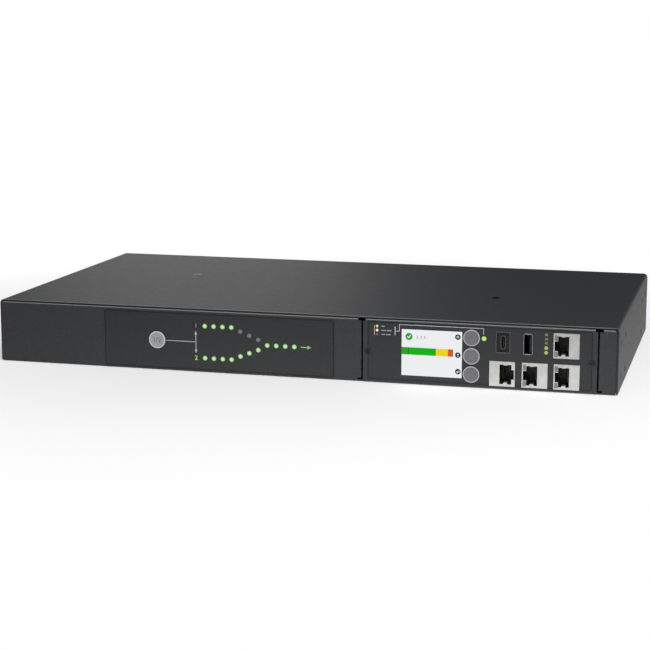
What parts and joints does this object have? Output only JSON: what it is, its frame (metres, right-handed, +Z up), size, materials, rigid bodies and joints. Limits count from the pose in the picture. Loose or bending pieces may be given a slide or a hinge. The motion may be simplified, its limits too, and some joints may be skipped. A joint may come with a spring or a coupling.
{
  "type": "rack automatic transfer switch",
  "caption": "Low rack-mount steel box that switches its outlets between mains inlets, with a mimic light display, a control module with a screen and keys, and data jacks.",
  "frame": {"origin": "middle of the base, on the surface that the case stands on", "axes": "+Z up, -Y towards the front with the display and the jacks, +X towards the control module's end"},
  "size_m": [0.432, 0.2399, 0.044],
  "materials": {
    "case_steel": "fine textured black powder coat on folded sheet steel",
    "plated_steel": "bright zinc plated steel",
    "black_screws": "black oxide steel",
    "label_film": "matt dark polyester film",
    "lit_lens": "clear moulded lens, lit from behind",
    "dim_lens": "clear moulded lens, not lit",
    "button_plastic": "grey moulded plastic",
    "circuit_board": "green coated glass fibre board",
    "flat_cable": "grey flat cable",
    "black_plastic": "black moulded plastic",
    "screen": "colour screen behind clear film, lit",
    "shield_metal": "bright nickel plated sheet",
    "gold_wire": "gold plated spring wire",
    "jack_lens": "clear moulded lens, not lit",
    "fin_aluminium": "plain extruded aluminium",
    "cell_steel": "bright coin cell in a black holder",
    "relay_case": "dark moulded relay case",
    "sensor_ring": "blue potted ring",
    "capacitor_case": "yellow boxed film capacitor",
    "varistor_coat": "blue dipped disc",
    "transformer_tape": "yellow tape wound coil",
    "fuse_ceramic": "white ceramic tube with metal caps",
    "socket_plastic": "black moulded polyamide",
    "pin_metal": "nickel plated brass blades",
    "lead_sheath": "brown, blue and striped wire sheath",
    "strip_brass": "plain brass"
  },
  "bodies": {
    "case": {"base_tray": "case_steel", "top_cover": "case_steel", "module_chassis": "case_steel", "bay_brackets": "case_steel", "cover_posts": "plated_steel", "board_standoffs": "plated_steel", "display_standoffs": "plated_steel", "board_screws": "plated_steel", "cover_screws": "black_screws", "module_screws": "black_screws", "front_overlay": "label_film", "module_overlay": "label_film", "mimic_lights_lit": "lit_lens", "status_light": "lit_lens", "level_lights": "lit_lens", "link_lights": "lit_lens", "mimic_lights_dim": "dim_lens", "display_board": "circuit_board", "module_front_board": "circuit_board", "management_board": "circuit_board", "main_board": "circuit_board", "display_ribbon": "flat_cable", "module_ribbon": "flat_cable", "tact_switches": "black_plastic", "lcd_frame": "black_plastic", "key_holder": "black_plastic", "jack_inserts": "black_plastic", "usb_c_housing": "black_plastic", "usb_tongues": "black_plastic", "lcd_panel": "screen", "network_jack": "shield_metal", "input_jack": "shield_metal", "output_jack": "shield_metal", "universal_jack": "shield_metal", "usb_c_shell": "shield_metal", "usb_a_shell": "shield_metal", "jack_contacts": "gold_wire", "jack_lights": "jack_lens", "processor_heatsink": "fin_aluminium", "clock_battery": "cell_steel", "source_a_relays": "relay_case", "source_b_relays": "relay_case", "current_sensors": "sensor_ring", "filter_capacitors": "capacitor_case", "varistors": "varistor_coat", "supply_transformers": "transformer_tape", "input_fuses": "fuse_ceramic", "inlet_a": "socket_plastic", "inlet_b": "socket_plastic", "outlet_bank_1": "socket_plastic", "outlet_bank_2": "socket_plastic", "large_outlet": "socket_plastic", "inlet_pins": "pin_metal", "power_leads": "lead_sheath", "outlet_busbars": "strip_brass", "earth_screw": "strip_brass"},
    "preference": {"preference_button": "button_plastic"},
    "menu": {"menu_key": "button_plastic"},
    "scroll": {"scroll_key": "button_plastic"},
    "select": {"select_key": "button_plastic"}
  },
  "joints": [
    {"name": "preference_press", "type": "slide", "parent": "case", "child": "preference", "axis": [0, 1, 0], "range_m": [0, 0.0008], "stiffness_N_per_m": 400, "springref_m": -0.0008},
    {"name": "menu_press", "type": "slide", "parent": "case", "child": "menu", "axis": [0, 1, 0], "range_m": [0, 0.0006], "stiffness_N_per_m": 400, "springref_m": -0.0008},
    {"name": "scroll_press", "type": "slide", "parent": "case", "child": "scroll", "axis": [0, 1, 0], "range_m": [0, 0.0006], "stiffness_N_per_m": 400, "springref_m": -0.0008},
    {"name": "select_press", "type": "slide", "parent": "case", "child": "select", "axis": [0, 1, 0], "range_m": [0, 0.0006], "stiffness_N_per_m": 400, "springref_m": -0.0008}
  ]
}
